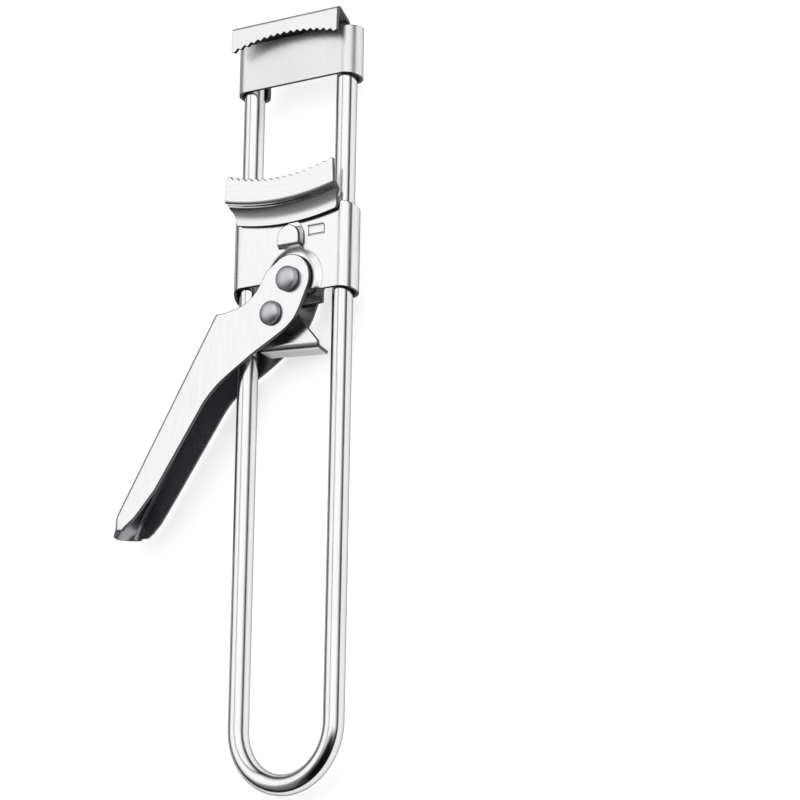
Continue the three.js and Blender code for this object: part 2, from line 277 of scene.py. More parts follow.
def softened(points, radius, least_turn=18, count=4):
    """The closed outline with each corner sharper than least_turn degrees rounded off."""
    loop = [Vector(p) for p in points]
    out = []
    for i, p in enumerate(loop):
        before, after = loop[i - 1] - p, loop[(i + 1) % len(loop)] - p
        turn = math.pi - before.angle(after)
        if math.degrees(turn) < least_turn:
            out.append(tuple(p))
            continue
        reach = min(radius * math.tan(turn / 2), 0.45 * before.length, 0.45 * after.length)
        a, b = p + before.normalized() * reach, p + after.normalized() * reach
        for j in range(count + 1):
            t = j / count
            out.append(tuple(a * (1 - t) ** 2 + p * 2 * t * (1 - t) + b * t * t))
    return out


def toothed_edge(half, mid, r, sign):
    """Teeth along y = mid + x * x / (2 * r), tips pointing along sign, from left to right."""
    pitch = 2 * half / JAW_TEETH
    xs = [-half + i * pitch / 2 for i in range(2 * JAW_TEETH + 1)]
    return [(x, mid + x * x / (2 * r) + sign * (TOOTH_H if i % 2 else 0)) for i, x in enumerate(xs)]


# ---------- sheet meshes ----------


def signed_area(loop):
    x, y = np.asarray(loop).T
    return float(np.sum(x * np.roll(y, -1) - np.roll(x, -1) * y)) / 2


def split_at_lines(loop, lines_u, lines_v, closest=0.03):
    """The closed loop with a point wherever it crosses a lattice line."""
    out = []
    for a, b in zip(loop, np.roll(loop, -1, 0)):
        cuts = [0.0]
        for axis, lines in ((0, lines_u), (1, lines_v)):
            span = b[axis] - a[axis]
            if abs(span) > 1e-6:
                t = (lines - a[axis]) / span
                cuts += list(t[(t > 0) & (t < 1)])
        for t in sorted(cuts):
            p = a + (b - a) * t
            far_from_last = not out or np.hypot(*(p - out[-1])) > closest
            if t == 0.0 or (far_from_last and np.hypot(*(b - p)) > closest):
                out.append(p)
    return np.array(out)


def inward_mitres(loop, inset):
    """For each point of a loop with material on its left, the step that moves both its edges in by 1.

    Steps are shortened at corners too tight for the inset, so that the moved loop does not fold over.
    """
    edge = np.roll(loop, -1, 0) - loop
    ahead = edge / np.linalg.norm(edge, axis=1)[:, None]
    normal = np.stack([-ahead[:, 1], ahead[:, 0]], 1)
    both = normal + np.roll(normal, 1, 0)
    mitre = both / np.maximum(0.5 * np.sum(both * both, 1), 0.6)[:, None]
    for _ in range(12):
        moved = loop + mitre * inset
        left = np.sum((np.roll(moved, -1, 0) - moved) * edge, 1) / np.sum(edge * edge, 1)
        folded = left < 0.15
        mitre[folded | np.roll(folded, 1)] *= 0.7
    return mitre


def inside(points, loops):
    """Which points lie inside the outer loop and outside the holes."""
    x, y = points[:, :1], points[:, 1:]
    odd = np.zeros(len(points), int)
    for loop in loops:
        ax, ay = loop.T
        bx, by = np.roll(loop, -1, 0).T
        rise = np.where(by == ay, 1, by - ay)
        crosses = ((ay > y) != (by > y)) & (x < (bx - ax) * (y - ay) / rise + ax)
        odd += crosses.sum(1)
    return odd % 2 == 1


def clear_of(points, loops, gap):
    """Which points lie further than gap from every loop."""
    keep = np.ones(len(points), bool)
    for loop in loops:
        a = loop[None]
        d = np.roll(loop, -1, 0)[None] - a
        p = points[:, None]
        t = np.clip(np.sum((p - a) * d, 2) / np.maximum(np.sum(d * d, 2), 1e-12), 0, 1)
        keep &= np.min(np.linalg.norm(p - a - d * t[:, :, None], axis=2), 1) > gap
    return keep


def cap_triangles(loops, lattice):
    """Triangles (indices into the loops' points, then the lattice) that fill the region between the loops."""
    points = np.concatenate(loops + [lattice])
    edges, first = [], 0
    for loop in loops:
        n = len(loop)
        edges += [(first + i, first + (i + 1) % n) for i in range(n)]
        first += n
    made = delaunay_2d_cdt([Vector(p) for p in points], edges, [], 0, 1e-5)
    origin = [o[0] for o in made[3]]
    triangles = np.array([[origin[i] for i in f] for f in made[2]])
    centres = points[triangles].mean(1)
    triangles = triangles[inside(centres, loops)]
    a, b, c = (points[triangles[:, k]] for k in range(3))
    turn = (b - a)[:, 0] * (c - a)[:, 1] - (b - a)[:, 1] * (c - a)[:, 0]
    triangles[turn < 0] = triangles[turn < 0][:, ::-1]
    return triangles[np.abs(turn) > 1e-9]


def wound_loops(outline, holes, lines):
    """The outline counter-clockwise and the holes clockwise, each cut where it crosses the lattice."""
    loops = []
    for loop, sign in [(outline, 1)] + [(h, -1) for h in holes]:
        loop = np.array(loop, float)
        if signed_area(loop) * sign < 0:
            loop = loop[::-1]
        loops.append(split_at_lines(loop, *lines))
    return loops


def rim_steps(thickness, rim, count=3):
    """Rings from the back to the front round a rim of quarter rounds: (inset, height, upward lean)."""
    wall = thickness / 2 - rim
    angles = [math.pi / 2 * j / count for j in range(count + 1)]
    back = [(rim * (1 - math.cos(a)), -wall - rim * math.sin(a), -math.sin(a)) for a in reversed(angles)]
    return back + [(rim * (1 - math.cos(a)), wall + rim * math.sin(a), math.sin(a)) for a in angles]


def bent(blank, tilt, place):
    """Points and normals of the blank's (u, v, w) after place bends it, and whether that mirrors it."""
    u, v, w = blank.T
    nudge = 2e-3
    points = np.column_stack(place(u, v, w))
    along_u = np.column_stack(place(u + nudge, v, w)) - np.column_stack(place(u - nudge, v, w))
    along_v = np.column_stack(place(u, v + nudge, w)) - np.column_stack(place(u, v - nudge, w))
    along_w = np.column_stack(place(u, v, w + nudge)) - np.column_stack(place(u, v, w - nudge))
    along_u /= np.linalg.norm(along_u, axis=1)[:, None]
    along_v /= np.linalg.norm(along_v, axis=1)[:, None]
    normal = np.cross(along_u, along_v)
    normal /= np.linalg.norm(normal, axis=1)[:, None]
    side = np.sign(np.median(np.sum(normal * along_w, 1)))
    normals = tilt[:, :1] * along_u + tilt[:, 1:2] * along_v + tilt[:, 2:] * normal * side
    return points, normals, side < 0


def sheet_mesh(outline, holes, lines, thickness, rim, place):
    """A sheet with rounded rims: a flat blank cut by outline and holes, and bent by place(u, v, w).

    lines are the lattice's u and v values. Returns points, faces, normals and the number of faces, the first
    ones, that lie on the rims.
    """
    loops = wound_loops(outline, holes, lines)
    mitres = [inward_mitres(loop, rim) for loop in loops]
    steps = rim_steps(thickness, rim)

    inner = [loop + m * rim for loop, m in zip(loops, mitres)]
    lattice = np.stack(np.meshgrid(*lines), -1).reshape(-1, 2)
    lattice = lattice[inside(lattice, inner)]
    lattice = lattice[clear_of(lattice, inner, 0.05)]
    ring = np.concatenate(inner)
    triangles = cap_triangles(inner, lattice)

    blank, tilt, faces = [], [], []
    n_ring, n_lattice = len(ring), len(lattice)
    for inset, w, up in steps:
        for loop, m in zip(loops, mitres):
            flat = loop + m * inset
            out = -m / np.linalg.norm(m, axis=1)[:, None] * math.sqrt(max(1 - up * up, 0))
            blank.append(np.column_stack([flat, np.full(len(flat), w)]))
            tilt.append(np.column_stack([out, np.full(len(flat), up)]))
    for side in (-1, 1):
        blank.append(np.column_stack([lattice, np.full(n_lattice, side * thickness / 2)]))
        tilt.append(np.tile([0.0, 0.0, float(side)], (n_lattice, 1)))
    blank, tilt = np.concatenate(blank), np.concatenate(tilt)

    first = 0
    for loop in loops:
        n = len(loop)
        for k in range(len(steps) - 1):
            low, high = first + k * n_ring, first + (k + 1) * n_ring
            faces += [(low + i, low + (i + 1) % n, high + (i + 1) % n, high + i) for i in range(n)]
        first += n
    rim_faces = len(faces)
    last_ring = (len(steps) - 1) * n_ring
    for triangle in triangles.tolist():
        front = [i + last_ring + (0 if i < n_ring else n_lattice) for i in triangle]
        back = [i + (0 if i < n_ring else last_ring) for i in triangle]
        faces.append(tuple(front))
        faces.append(tuple(reversed(back)))

    points, normals, mirrored = bent(blank, tilt, place)
    if mirrored:
        faces = [tuple(reversed(f)) for f in faces]
    return points, faces, normals, rim_faces


def place_in_frame(points):
    return ORIGIN + np.asarray(points) * MM


def add_piece(name, shape, body, node, material, edge_material=None, back_material=None):
    """Makes the mesh, puts it on its body and lets it stand for its CAD node.

    After a sheet's rim faces come its front and back faces in turn.
    """
    points, faces, normals, rim_faces = shape
    mesh = bpy.data.meshes.new(name)
    mesh.from_pydata(place_in_frame(points).tolist(), [], [list(f) for f in faces])
    mesh.materials.append(material)
    if rim_faces:
        mesh.materials.append(edge_material)
        mesh.materials.append(back_material or material)
        sides = [1 if i < rim_faces else 2 * ((i - rim_faces) % 2) for i in range(len(faces))]
        mesh.polygons.foreach_set("material_index", sides)
    mesh.validate()
    mesh.shade_smooth()
    length = np.linalg.norm(normals, axis=1)
    mesh.normals_split_custom_set_from_vertices((normals / length[:, None]).tolist())
    piece = bpy.data.objects.new(name, mesh)
    bpy.context.scene.collection.objects.link(piece)
    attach(piece, body)
    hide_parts(node)
    return piece


# ---------- pieces ----------


def wire_loop(sides=64):
    """The bar bent into a loop, with softened ends."""
    stations = [(-BAR_X, BAR_TOP, 0.0, -1.0)]
    bend_y = BAR_X + BAR_R
    stations += [(-BAR_X, y, 0.0, -1.0) for y in np.linspace(BAR_TOP - 1, bend_y + 0.5, 60)]
    for a in np.linspace(math.pi, 2 * math.pi, 73):
        stations.append((BAR_X * math.cos(a), bend_y + BAR_X * math.sin(a), -math.sin(a), math.cos(a)))
    stations += [(BAR_X, y, 0.0, 1.0) for y in np.linspace(bend_y + 0.5, BAR_TOP - 1, 60)]
    stations.append((BAR_X, BAR_TOP, 0.0, 1.0))
    around = np.linspace(0, 2 * math.pi, sides, endpoint=False)
    c, s = np.cos(around), np.sin(around)
    points, normals = [], []

    def ring(x, y, tx, ty, r, lean, back):
        side = np.column_stack([-ty * c, tx * c, s])
        points.append(np.array([x, y, 0]) + side * r - np.array([tx, ty, 0]) * back)
        normals.append(side * math.sqrt(1 - lean * lean) + np.array([tx, ty, 0]) * lean)

    edge = 0.5
    caps = [math.pi / 2 * j / 5 for j in range(6)]
    for a in reversed(caps):
        ring(*stations[0], BAR_R - edge * (1 - math.cos(a)), -math.sin(a), edge * math.sin(a) - edge)
    for station in stations[1:-1]:
        ring(*station, BAR_R, 0, 0)
    for a in caps:
        ring(*stations[-1], BAR_R - edge * (1 - math.cos(a)), math.sin(a), edge - edge * math.sin(a))
    points, normals = np.concatenate(points), np.concatenate(normals)
    rows = len(points) // sides
    faces = []
    for i in range(rows - 1):
        for k in range(sides):
            a, b = i * sides + k, i * sides + (k + 1) % sides
            faces.append((a, b, b + sides, a + sides))
    faces.append(tuple(range(sides))[::-1])
    faces.append(tuple((rows - 1) * sides + k for k in range(sides)))
    return points, faces, normals, 0


def round_the_bars(end_left, end_right):
    """Section of a sheet whose front is at z = ROLL_R and whose ends are rolled round the bars."""
    roll = [(ROLL_X, 0), (math.pi * ROLL_R, -180)]
    return Band(Fold((0, ROLL_R), 0, roll + end_right), Fold((0, ROLL_R), 0, roll + end_left))


def curl(degrees):
    """A sheet's last stretches, curled in behind a bar."""
    return [(ROLL_X - CURL_X, 0), (math.radians(degrees) * ROLL_R, -degrees)]


def head_clip():
    """Band over the front of both bars, its ends curled in behind them and its lower edge cut at a slant."""
    section = round_the_bars(curl(HEAD_CURL), curl(HEAD_CURL))
    across = section.lines(1.0, 6)
    lines = (across, np.arange(HEAD_Y0 - 1, HEAD_Y1, 0.9))

    def low(s):
        return HEAD_Y0 + HEAD_BACK_DROP * (section.at(s, 0)[1] + SHEET / 2 - FRONT)

    marks = [s for s in across if across[0] + 1 < s < across[-1] - 1]
    marks = [across[0]] + marks + [across[-1]]
    outline = [(s, float(low(s))) for s in marks] + [(across[-1], HEAD_Y1), (across[0], HEAD_Y1)]

    def place(s, y, w):
        x, z = section.at(s, w)
        return x, y, z

    return sheet_mesh(softened(outline, SHEET_CORNER, 40), [], lines, SHEET, RIM, place)


def upper_jaw():
    """Tongue behind the head, slope over its top edge, and toothed flange hanging down in front."""
    bend, crest = 90 - UPPER_SLOPE, UPPER_SLOPE + UPPER_LEAN
    bend_reach = UPPER_BEND_R * math.tan(math.radians(bend / 2))
    crest_reach = UPPER_BEND_R * math.tan(math.radians(crest / 2))
    tongue = UPPER_TONGUE_TOP - UPPER_ROOT[1] - bend_reach
    run = (UPPER_CREST_Z - UPPER_ROOT[0]) / math.cos(math.radians(UPPER_SLOPE)) - (bend_reach + crest_reach)
    section = Fold(
        UPPER_ROOT,
        90,
        [
            (tongue, 0),
            (math.radians(bend) * UPPER_BEND_R, -bend),
            (run, 0),
            (math.radians(crest) * UPPER_BEND_R, -crest),
            (UPPER_FLANGE, 0),
        ],
    )
    along = section.lines(0.8, 9)
    lines = (np.arange(-JAW_HALF, JAW_HALF + 0.1, 0.9), along)
    flange = section.pieces[-1]
    wide = section.pieces[1][0] + 0.1
    teeth = []
    for x, y in toothed_edge(JAW_HALF, UPPER_EDGE_MID, -UPPER_EDGE_R, -1):
        teeth.append((x, flange[0] + (flange[2] - y) / math.sin(math.radians(UPPER_LEAN))))
    outline = [(-UPPER_TONGUE_HALF, 0), (UPPER_TONGUE_HALF, 0), (UPPER_TONGUE_HALF, wide), (JAW_HALF, wide)]
    outline += teeth[::-1] + [(-JAW_HALF, wide), (-UPPER_TONGUE_HALF, wide)]

    def place(x, s, w):
        z, y = section.at(s, w)
        return x, y, z

    return sheet_mesh(softened(outline, JAW_CORNER), [], lines, SHEET, JAW_RIM, place)


def lower_jaw():
    """Root on the sleeve, hollow flare and upright toothed lip, all bowed upwards at both ends."""
    stretches = [(LOWER_ROOT_RUN, 0)]
    for r, turn in LOWER_BENDS:
        stretches.append((math.radians(abs(turn)) * r, turn))
    section = Fold(LOWER_ROOT, 90, stretches + [(LOWER_LIP, 0)])
    lines = (np.arange(-18, 18.1, 0.6), section.lines(0.8, 6))

    def blank(points):
        return [(x, float(section.distance_at(y - x * x / (2 * LOWER_BOW_R)))) for x, y in points]

    right = [(17.7, 155.6), (17.6, 153.4)] + arc(20.3, 150.6, 3.9, 140, 190, 8)
    left = [(-x, y) for x, y in reversed(right)]
    outline = blank(toothed_edge(JAW_HALF, LOWER_EDGE_MID, LOWER_EDGE_R, 1))
    outline += blank(right) + [(LOWER_ROOT_HALF, 0.0), (-LOWER_ROOT_HALF, 0.0)] + blank(left)

    def place(x, s, w):
        z, y = section.at(s, w)
        return x, y + x * x / (2 * LOWER_BOW_R), z

    return sheet_mesh(softened(outline, JAW_CORNER, 22), [], lines, SHEET, JAW_RIM, place)


def smooth(t):
    """An even step from 0 at t = 0 to 1 at t = 1."""
    t = np.clip(t, 0, 1)
    return t * t * (3 - 2 * t)


def sleeve_lines(section):
    """Lattice values of the sleeve's blank, closer together at the groove and along the tab."""
    x0, x1, y0, y1 = GROOVE_BOX
    groove = np.array([-GROOVE_HALF, 0, GROOVE_HALF])
    lines_u = np.unique(np.concatenate([section.lines(0.5, 6), x0 + groove, x1 + groove]).round(4))
    tab_lines = np.arange(TAB_ROOT, TAB_ROOT + 3.4, 0.17)
    even_lines = np.arange(126.3, 151.5, 0.5)
    lines_v = np.unique(np.concatenate([even_lines, y0 + groove, y1 + groove, tab_lines]).round(4))
    return lines_u, lines_v[np.concatenate([[True], np.diff(lines_v) > 0.06])]


def sleeve_outline(section, lines_u):
    """Lower edge with its notch, cut at a slant, and upper edge, which drops towards the back."""

    def above_front(s):
        return section.at(s, 0)[1] + SHEET / 2 - FRONT

    def low(s):
        notch = NOTCH_Y + NOTCH_SLANT * above_front(s)
        y = SLEEVE_Y0 + SLEEVE_BACK_DROP * above_front(s)
        return float(np.where(s < NOTCH_X, np.maximum(y, notch), y))

    def high(s):
        return float(SLEEVE_Y1 + SLEEVE_TOP_SLANT * above_front(s))

    end_left, end_right = -section.left.length, section.right.length
    marks = np.unique(np.concatenate([lines_u, [NOTCH_X - NOTCH_RUN, NOTCH_X]]))
    marks = marks[(marks > end_left + 1) & (marks < end_right - 1)]
    marks = np.concatenate([[end_left], marks, [end_right]])
    marks = marks[(marks <= NOTCH_X - NOTCH_RUN) | (marks >= NOTCH_X)]
    return [(s, low(s)) for s in marks] + [(s, high(s)) for s in marks[::-1]]


def tab_slot(tab_round):
    """The slot that frees the tab's sides and rounded end."""
    inner = arc(TAB_X, tab_round, TAB_HALF, 0, 180, 24)
    outer = arc(TAB_X, tab_round, TAB_HALF + TAB_SLOT, 180, 0, 24)
    foot = TAB_ROOT + 0.3
    slot = [(TAB_X + TAB_HALF, foot)] + inner + [(TAB_X - TAB_HALF, foot)]
    return slot + [(TAB_X - TAB_HALF - TAB_SLOT, foot)] + outer + [(TAB_X + TAB_HALF + TAB_SLOT, foot)]


def tab_fold():
    """The tab's (z, y) section: up a short steep ramp and then level."""
    rise = TAB_RISE - 2 * TAB_BEND_R * (1 - math.cos(math.radians(TAB_BEND)))
    bend = math.radians(TAB_BEND) * TAB_BEND_R
    ramp = rise / math.sin(math.radians(TAB_BEND))
    return Fold((ROLL_R, TAB_ROOT), 90, [(bend, -TAB_BEND), (ramp, 0), (bend, TAB_BEND), (9, 0)])


def pad_height(x, y):
    """Height of the round pad pressed up under the lever."""
    r = np.hypot(x - LEVER_PIVOT[0], y - LEVER_PIVOT[1])
    return PAD_H * smooth((PAD_BASE_R - r) / (PAD_BASE_R - PAD_R))


def carriage_sleeve():
    """Sleeve rolled round both bars, its left end carried across the back as a strap."""
    section = round_the_bars([(ROLL_X + SLEEVE_BACK_EDGE, 0)], curl(SLEEVE_CURL))
    lines = sleeve_lines(section)
    outline = softened(sleeve_outline(section, lines[0]), SHEET_CORNER, 35)
    strap_pivot = (-(2 * ROLL_X + math.pi * ROLL_R) - LEVER_PIVOT[0], LEVER_PIVOT[1])
    tab, tab_round = tab_fold(), TAB_END - TAB_HALF
    pivot_r = LEVER_SHANK_R + HOLE_GAP
    holes = [circle(LEVER_PIVOT, pivot_r), circle(strap_pivot, pivot_r), tab_slot(tab_round)]
    x0, x1, y0, y1 = GROOVE_BOX
    tab_side = TAB_HALF + TAB_SLOT / 2

    def place(s, y, w):
        x, z = section.at(s, w)
        on_front = np.abs(s) < ROLL_X
        z = z + np.where(on_front, pad_height(x, y), 0)
        from_box = np.maximum(np.maximum(x0 - x, x - x1), np.maximum(y0 - y, y - y1))
        groove = GROOVE_DEPTH * (1 - smooth(np.abs(from_box) / GROOVE_HALF))
        z = z - np.where(on_front & (w > 0), groove, 0)
        on_tab = (np.abs(x - TAB_X) < tab_side) & (y > TAB_ROOT) & on_front
        on_tab &= (y < tab_round) | (np.hypot(x - TAB_X, y - tab_round) < tab_side)
        tab_z, tab_y = tab.at(y - TAB_ROOT, -w)
        tab_z = tab_z + pad_height(x, TAB_ROOT) * (1 - smooth((y - TAB_ROOT) / 3))
        return x, np.where(on_tab, tab_y, y), np.where(on_tab, tab_z, z)

    return sheet_mesh(outline, holes, lines, SHEET, RIM, place)


def lever_section(bend_r, straight):
    """Half the channel's (z, out) section, from the middle of its web to the edge of a wall."""
    return Fold((0, LEVER_T / 2), 0, [(straight, 0), (math.pi / 2 * bend_r, 90), (WALL_STOCK, 0)])


def along_and_out(x, y):
    """Distance along the lever from its corner, and out from its web."""
    dx, dy = x - LEVER_CORNER[0], y - LEVER_CORNER[1]
    cos_angle, sin_angle = math.cos(LEVER_ANGLE), math.sin(LEVER_ANGLE)
    return -(dx * sin_angle + dy * cos_angle), dx * cos_angle - dy * sin_angle


def lever_wall(inset):
    """One wall's outline as (along, out), from the tip round the pivot end to the corner; inset slims it."""
    slim = inset * 0.33
    if inset:
        grip = [(61.9, 2.2), (60.9, 4.2), (59.0, 5.6), (56.0, 6.5), (47, 8.6 - slim)]
    else:
        grip = [(60.8, 3.7), (58.6, 5.4), (56.2, 6.5), (47, 8.6)]
    neck = [
        (-24.6 - slim, 102.6),
        (-22.0 - slim, 105.2),
        (-19.0 - slim * 0.5, 107.6),
        (-14.7, 110.2),
        (-9.0, 113.5),
        (-2.0 - inset * 0.5, 117.0),
        (2.0 - inset, 119.2),
        (4.4 - inset, 121.3),
        (6.0 - inset, 123.8),
    ]
    end_x, end_r = LEVER_PIVOT[0] - inset * 0.5, LEVER_END_R - inset * 0.5
    end = arc(end_x, LEVER_PIVOT[1], end_r, -27, 128, 28)
    shoulder = [(-4.9, 135.0), (-6.5, 132.4), (-8.0, 130.2), (-9.8, 128.5), (-12.4, 127.0), (-16.0, 126.1)]
    shoulder = smooth_line(shoulder + [(-20.0, 125.6)])
    return grip + [along_and_out(x, y) for x, y in smooth_line(neck) + end + shoulder]


def lever():
    """Channel with a deep front wall and a slimmer rear one, rounded into a scoop at the tip."""
    middle = (LEVER_Z0 + LEVER_Z1) / 2
    half_web = (LEVER_Z1 - LEVER_Z0 - LEVER_T) / 2 - LEVER_BEND_R
    channel, scoop = lever_section(LEVER_BEND_R, half_web), lever_section(SPOON_R, 0.2)
    wall_at = half_web + math.pi / 2 * LEVER_BEND_R - LEVER_T / 2 - LEVER_BEND_R
    cos_angle, sin_angle = math.cos(LEVER_ANGLE), math.sin(LEVER_ANGLE)

    web_end = smooth_line([(62.6, -6), (63.9, -3), (64.5, 0), (64.3, 2), (63.5, 4), (61.6, 6)])
    front = [(u, n + wall_at) for u, n in lever_wall(0)]
    rear = [(u, -n - wall_at) for u, n in reversed(lever_wall(REAR_WALL_INSET))]
    outline = web_end + front + [(0.0, half_web), (0.0, -half_web)] + rear
    holes = []
    for pivot, r in ((LEVER_PIVOT, LEVER_SHANK_R + HOLE_GAP), (LINK_PIVOT, LINK_SHANK_R + HOLE_GAP)):
        u, n = along_and_out(*pivot)
        holes += [circle((u, n + wall_at), r), circle((u, -n - wall_at), r)]

    across = channel.lines(0.9, 9)
    across = across[across < 40]
    lines = (np.arange(-27, LEVER_LENGTH + 1, 1.0), np.unique(np.concatenate([-across, across]).round(4)))

    def place(u, v, w):
        side = np.where(v < 0, -1.0, 1.0)
        scooped = SPOON_SHARE * smooth((u - LEVER_LENGTH + SPOON_LENGTH) / SPOON_LENGTH)
        up, out = channel.at(np.abs(v), -w)
        round_up, round_out = scoop.at(np.abs(v), -w)
        up, out = up + (round_up - up) * scooped, out + (round_out - out) * scooped
        return (
            LEVER_CORNER[0] - u * sin_angle + out * cos_angle,
            LEVER_CORNER[1] - u * cos_angle - out * sin_angle,
            middle + side * up,
        )

    return sheet_mesh(softened(outline, 0.6, 25), holes, lines, LEVER_T, LEVER_RIM, place)


def smooth_line(points, per=4):
    """A smooth curve through the points, per steps between each pair."""
    p = np.array([points[0]] + list(points) + [points[-1]], float)
    out = []
    for i in range(1, len(p) - 2):
        a, b, c, d = p[i - 1 : i + 3]
        for j in range(per):
            t = j / per
            square, cube = (2 * a - 5 * b + 4 * c - d) * t**2, (3 * b - a - 3 * c + d) * t**3
            out.append(tuple(0.5 * (2 * b + (c - a) * t + square + cube)))
    return out + [tuple(points[-1])]


def brake_plate():
    """Plate hung on the link rivet, bent back at its foot."""
    bend = (math.radians(BRAKE_BEND) * BRAKE_BEND_R, -BRAKE_BEND)
    section = Fold((BRAKE_Z, BRAKE_TOP), -90, [(BRAKE_TOP - BRAKE_BEND_Y, 0), bend, (BRAKE_LIP, 0)])
    cos_tilt, sin_tilt = math.cos(BRAKE_TILT), math.sin(BRAKE_TILT)

    def blank(x, y):
        dx, dy = x - LINK_PIVOT[0], y - BRAKE_TURN_Y
        y = BRAKE_TURN_Y - dx * sin_tilt + dy * cos_tilt
        return LINK_PIVOT[0] + dx * cos_tilt + dy * sin_tilt, float(section.distance_at(y))

    outline = [blank(x, y) for x, y in arc(*LINK_PIVOT, BRAKE_EYE_R, 150, 45, 16)]
    outline += [blank(9.3, 115.6)]
    right, left = blank(9.2, 113.0)[0], blank(-9.9, 113.0)[0]
    outline += [(right, section.length), (left, section.length), blank(-9.9, 116.6)]
    lines = (np.arange(-12, 12, 0.8), section.lines(0.8, 6))

    def place(x, s, w):
        z, y = section.at(s, w)
        dx, dy = x - LINK_PIVOT[0], y - BRAKE_TURN_Y
        turned_x = LINK_PIVOT[0] + dx * cos_tilt - dy * sin_tilt
        return turned_x, BRAKE_TURN_Y + dx * sin_tilt + dy * cos_tilt, z

    holes = [circle(blank(*LINK_PIVOT), LINK_SHANK_R + HOLE_GAP)]
    return sheet_mesh(softened(outline, 0.35, 22), holes, lines, BRAKE_T, RIM, place)


def turned(centre, profile, sides=72):
    """A round body about a z axis, from a (radius, z) profile run from the front down."""
    profile = np.array(profile, float)
    step = np.diff(profile, axis=0)
    slope = np.column_stack([-step[:, 1], step[:, 0]])
    slope /= np.linalg.norm(slope, axis=1)[:, None]
    lean = np.vstack([slope[:1], slope[:-1] + slope[1:], slope[-1:]])
    lean[0], lean[-1] = (0, 1), (0, -1)
    around = np.linspace(0, 2 * math.pi, sides, endpoint=False)
    points, normals, faces = [], [], []
    for (r, z), (nr, nz) in zip(profile, lean):
        for a in around:
            points.append((centre[0] + r * math.cos(a), centre[1] + r * math.sin(a), z))
            normals.append((nr * math.cos(a), nr * math.sin(a), nz))
    for i in range(1, len(profile) - 2):
        for k in range(sides):
            a, b = i * sides + k, i * sides + (k + 1) % sides
            faces.append((a, a + sides, b + sides, b))
    front, back = 0, (len(profile) - 1) * sides
    for k in range(sides):
        faces.append((front, sides + k, sides + (k + 1) % sides))
        faces.append((back, back - sides + (k + 1) % sides, back - sides + k))
    used = sorted({i for f in faces for i in f})
    index = {old: new for new, old in enumerate(used)}
    faces = [tuple(index[i] for i in f) for f in faces]
    return np.array(points)[used], faces, np.array(normals)[used], 0


def rivet(centre, shank_r, head_r, collar, dome, shoulder):
    """A rivet through the lever: domed head on a collar, shank with an optional shoulder, and flat tail."""
    under, behind = LEVER_Z1 + HOLE_GAP, LEVER_Z0 - HOLE_GAP
    top = under + collar
    profile = [(0, top + dome)]
    for a in np.radians(np.linspace(5, 90, 18)):
        profile.append((head_r * math.sin(a), top + dome * math.cos(a)))
    profile += rounded_profile([(head_r, under + 0.01), (shank_r, under)] + shoulder + [(shank_r, behind)])
    tail = [(shank_r + wider, behind - lower) for wider, lower in ((1, 0), (0.95, 0.3), (0.4, 0.55))]
    profile += rounded_profile(tail) + [(0, behind - 0.6)]
    return turned(centre, profile)


def rounded_profile(points, edge=0.06):
    """Each profile corner as two close points, so that its edge stays crisp."""
    out = []
    for i, p in enumerate(points):
        p = Vector(p)
        for q in (points[i - 1] if i else None, points[i + 1] if i + 1 < len(points) else None):
            if q is not None:
                out.append(tuple(p + (Vector(q) - p).normalized() * edge))
    return [points[0]] + out + [points[-1]]


# ---------- materials ----------


class Nodes:
    """A short way to add and link shader nodes."""

    def __init__(self, tree):
        self.tree = tree
        tree.nodes.clear()

    def add(self, kind, inputs=None, **settings):
        node = self.tree.nodes.new(kind)
        for key, value in settings.items():
            setattr(node, key, value)
        for key, value in (inputs or {}).items():
            socket = node.inputs[key]
            if isinstance(value, bpy.types.NodeSocket):
                self.tree.links.new(value, socket)
            else:
                socket.default_value = value
        return node

    def multiply(self, first, second):
        """The product of two colours."""
        node = self.add("ShaderNodeMix", {"Factor": 1.0}, data_type="RGBA", blend_type="MULTIPLY")
        self.tree.links.new(first, node.inputs["A"])
        self.tree.links.new(second, node.inputs["B"])
        return node.outputs["Result"]

    def noise(self, vector, scale, detail, roughness=0.5):
        settings = {"Vector": vector, "Scale": scale, "Detail": detail, "Roughness": roughness}
        return self.add("ShaderNodeTexNoise", settings).outputs["Fac"]

    def spread(self, value, from_range, to_range):
        """The value moved from one range to another."""
        settings = {"Value": value, "From Min": from_range[0], "From Max": from_range[1]}
        settings.update({"To Min": to_range[0], "To Max": to_range[1]})
        return self.add("ShaderNodeMapRange", settings).outputs[0]

    def bump(self, height, strength, distance, under=None):
        settings = {"Height": height, "Strength": strength, "Distance": distance}
        if under:
            settings["Normal"] = under
        return self.add("ShaderNodeBump", settings).outputs[0]

    def ramp(self, factor, stops):
        """Colours or grey levels at positions along the factor."""
        node = self.add("ShaderNodeValToRGB", {"Fac": factor})
        elements = node.color_ramp.elements
        while len(elements) > 1:
            elements.remove(elements[-1])
        for i, (position, value) in enumerate(stops):
            element = elements[0] if i == 0 else elements.new(position)
            element.position = position
            element.color = (*value, 1) if isinstance(value, tuple) else (value, value, value, 1)
        return node.outputs["Color"]


